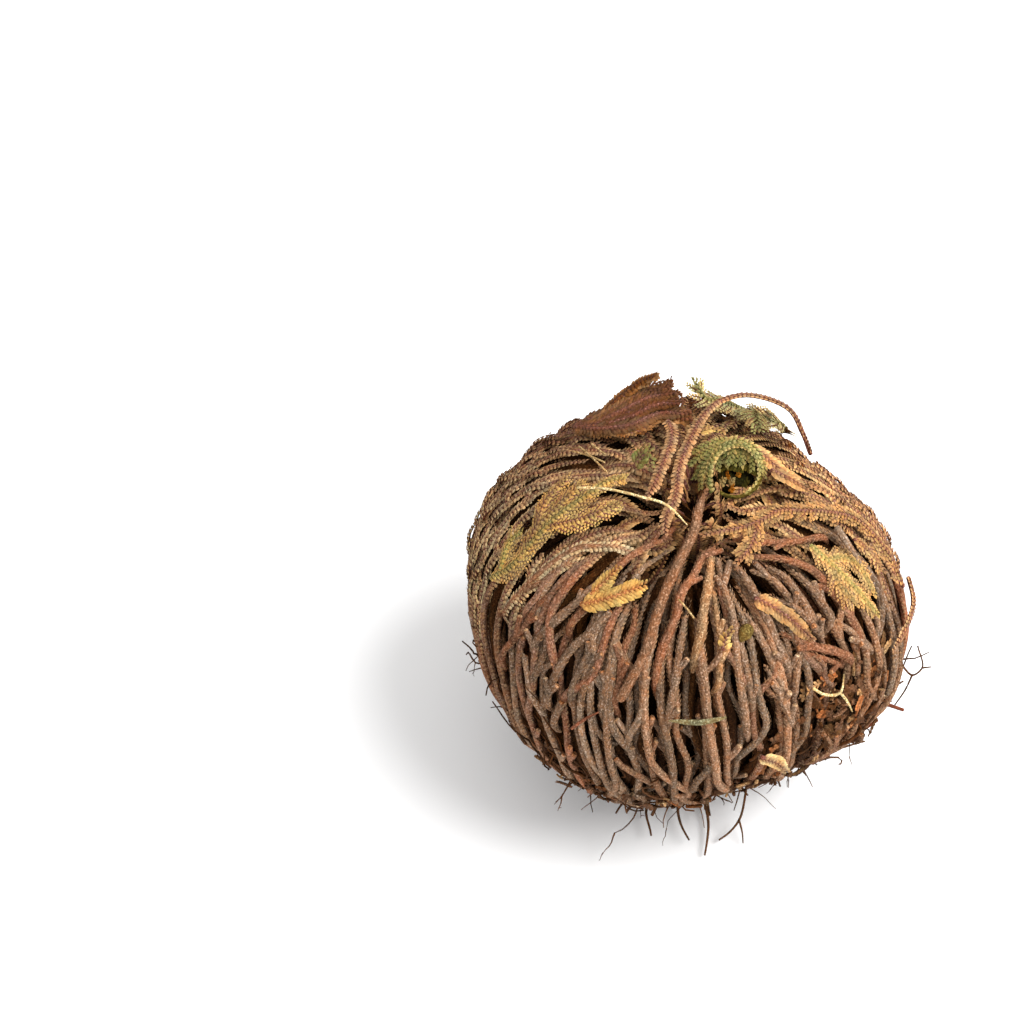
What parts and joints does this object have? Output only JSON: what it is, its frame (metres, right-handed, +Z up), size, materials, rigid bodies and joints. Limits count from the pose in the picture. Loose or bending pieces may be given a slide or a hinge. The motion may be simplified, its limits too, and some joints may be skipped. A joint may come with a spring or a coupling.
{
  "type": "rose of jericho",
  "caption": "Dried rose of Jericho, a false one of the spike-moss kind: bare stems rise from a root crown and roll up into a ball of scale-leaved fronds, with a green curl at the top.",
  "frame": {"origin": "middle of the whole part seen from above, at the flat underside of the root crown", "axes": "+Z up, away from the surface it rests on; -Y is the front, where the bare stems show; +X is to its right"},
  "size_m": [0.0908, 0.0879, 0.0831],
  "materials": {
    "root": "dark, brittle, fibrous",
    "stem_bark": "dry grey-brown bark, matt",
    "leaf_tan": "dry scale leaves, tan edges, matt",
    "leaf_gold": "dry scale leaves, yellow gold, matt",
    "leaf_green": "part dried scale leaves, dull green, matt",
    "leaf_brown": "old scale leaves, dark brown, matt",
    "straw": "dry pale straw, matt"
  },
  "bodies": {
    "root": {"root_crown": "root", "heart": "leaf_brown", "frond_outer_01": "leaf_tan", "frond_outer_02": "leaf_tan", "frond_outer_03": "leaf_tan", "frond_outer_04": "leaf_tan", "frond_outer_05": "leaf_tan", "frond_outer_06": "leaf_tan", "frond_outer_07": "leaf_tan", "frond_outer_08": "leaf_tan", "frond_outer_09": "leaf_tan", "frond_outer_10": "leaf_tan", "frond_outer_11": "leaf_tan", "frond_outer_12": "leaf_tan", "frond_outer_13": "stem_bark", "frond_outer_14": "stem_bark", "frond_outer_15": "stem_bark", "frond_outer_16": "stem_bark", "frond_outer_17": "stem_bark", "frond_outer_18": "stem_bark", "frond_outer_19": "stem_bark", "frond_outer_20": "leaf_tan", "frond_inner_01": "stem_bark", "frond_inner_02": "stem_bark", "frond_inner_03": "stem_bark", "frond_inner_04": "stem_bark", "frond_inner_05": "stem_bark", "frond_inner_06": "stem_bark", "frond_inner_07": "stem_bark", "frond_inner_08": "stem_bark", "frond_inner_09": "stem_bark", "frond_inner_10": "stem_bark", "frond_inner_11": "stem_bark", "frond_inner_12": "stem_bark", "frond_inner_13": "stem_bark", "frond_inner_14": "stem_bark", "stem_over_front": "stem_bark", "branchlet_over_left": "leaf_tan", "frond_arch": "leaf_tan", "branch_toothed_right": "leaf_gold", "spray_gold_right": "leaf_gold", "stick_right": "stem_bark", "spray_gold_left": "leaf_gold", "twig_gold_front": "leaf_gold", "straw": "straw", "leaflet_green_left": "leaf_green", "clump_green_back": "leaf_green", "frond_brown_back": "leaf_brown", "twig_across_front": "stem_bark", "flake_low_right": "straw", "strand_right": "leaf_tan", "frond_green_curl": "leaf_green"}
  },
  "joints": []
}
